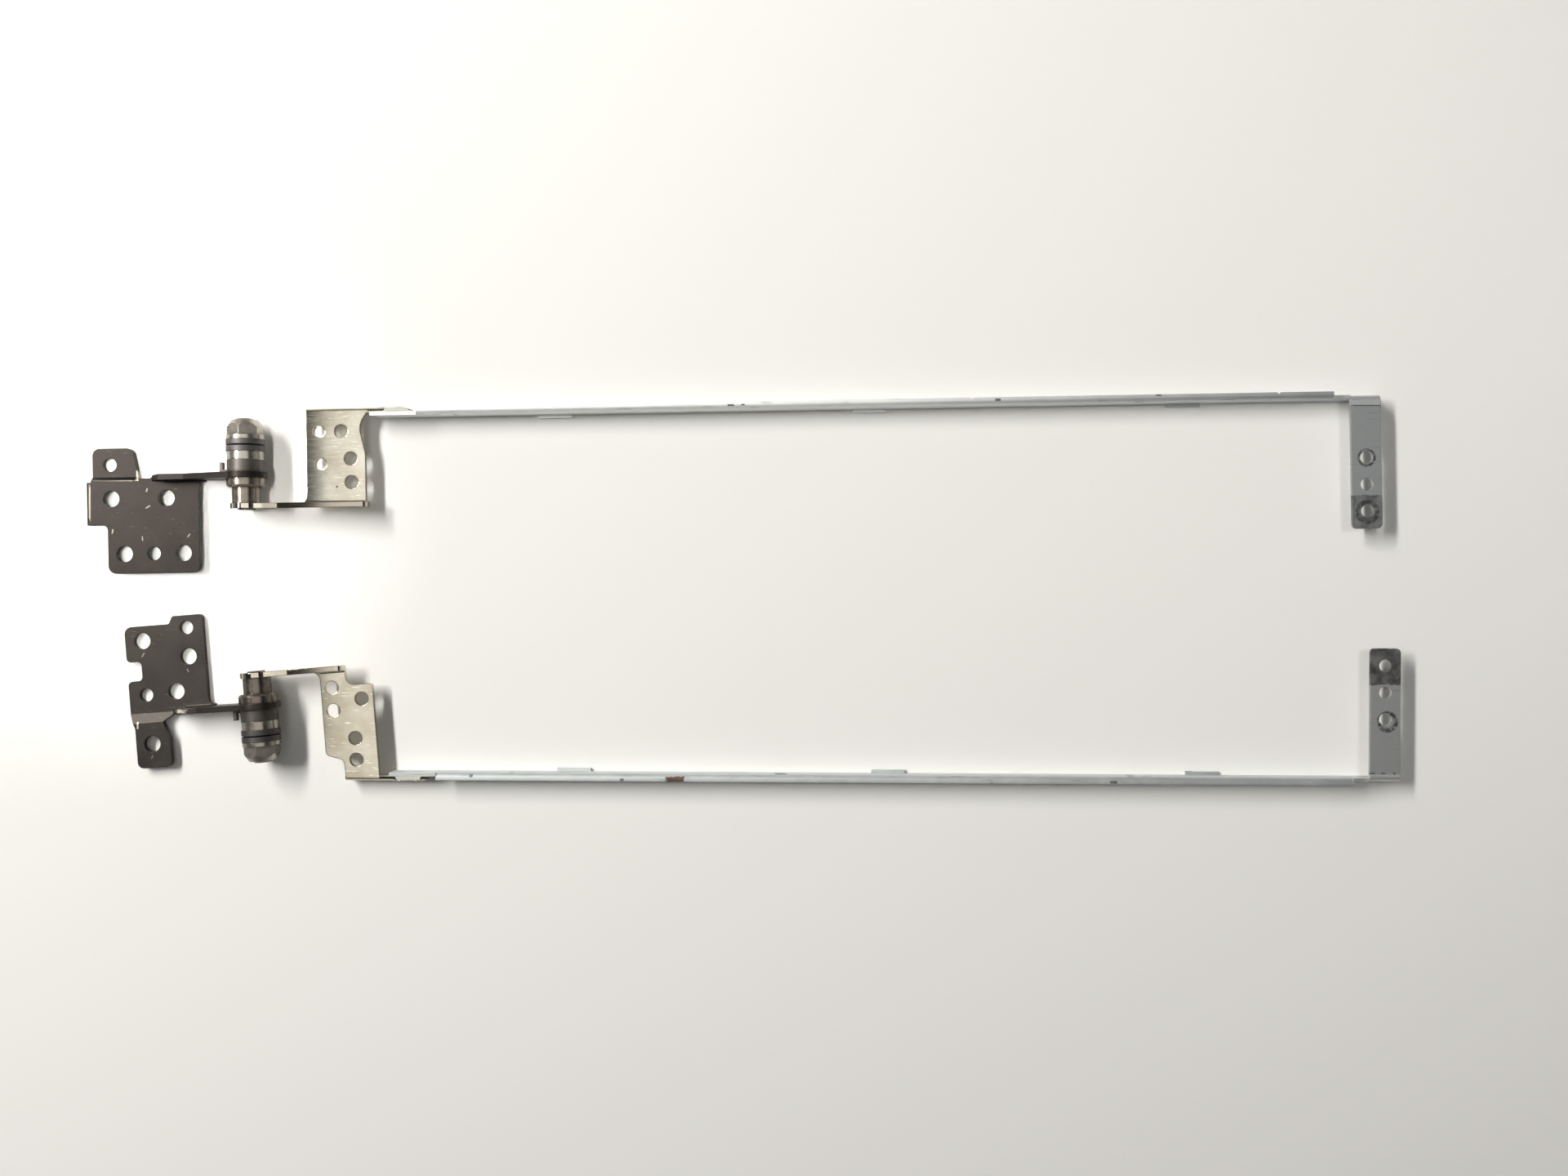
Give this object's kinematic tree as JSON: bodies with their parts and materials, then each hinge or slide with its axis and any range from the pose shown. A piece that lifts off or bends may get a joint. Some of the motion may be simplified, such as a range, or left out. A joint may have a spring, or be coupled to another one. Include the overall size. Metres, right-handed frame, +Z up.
{
  "type": "laptop hinge pair",
  "caption": "Pair of friction lid hinges: holed base brackets, shafts with washer and disc spring stacks, and plated screen brackets on long rails with end tabs.",
  "frame": {"origin": "bottom centre of the pair's bounding box, on the table", "axes": "+X along the rails from the base plates towards the far tabs, +Y from the right hinge to the left one, +Z up"},
  "size_m": [0.2716, 0.081, 0.009],
  "materials": {
    "dark_steel": "dark satin plated steel sheet",
    "washer_steel": "dark oiled steel",
    "shaft_steel": "turned steel, brownish oil film",
    "bright_nickel": "bright nickel plate",
    "spring_steel": "blued spring steel",
    "nut_steel": "nickel-plated steel",
    "nickel_plate": "bright nickel-plated steel sheet",
    "zinc_steel": "zinc-coated steel sheet"
  },
  "bodies": {
    "base": {"left_base_bracket": "dark_steel", "left_tabbed_washer": "washer_steel", "right_base_bracket": "dark_steel", "right_tabbed_washer": "washer_steel"},
    "left_lid": {"left_hinge_shaft": "shaft_steel", "left_friction_washer": "washer_steel", "left_wear_washer": "bright_nickel", "left_inner_disc_spring": "spring_steel", "left_outer_disc_spring": "spring_steel", "left_thrust_washer": "bright_nickel", "left_lock_nut": "nut_steel", "left_screen_bracket": "nickel_plate", "left_screen_rail": "zinc_steel"},
    "right_lid": {"right_hinge_shaft": "shaft_steel", "right_friction_washer": "washer_steel", "right_wear_washer": "bright_nickel", "right_inner_disc_spring": "spring_steel", "right_outer_disc_spring": "spring_steel", "right_thrust_washer": "bright_nickel", "right_lock_nut": "nut_steel", "right_screen_bracket": "nickel_plate", "right_screen_rail": "zinc_steel"}
  },
  "joints": [
    {"name": "left_hinge", "type": "hinge", "parent": "base", "child": "left_lid", "pos_m": [-0.10125, 0.01632, 0.0048], "axis": [0.0175, -0.9998, 0], "range_deg": [0, 180]},
    {"name": "right_hinge", "type": "hinge", "parent": "base", "child": "right_lid", "pos_m": [-0.09927, -0.01713, 0.0048], "axis": [0.0785, -0.9969, 0], "range_deg": [0, 180]}
  ]
}
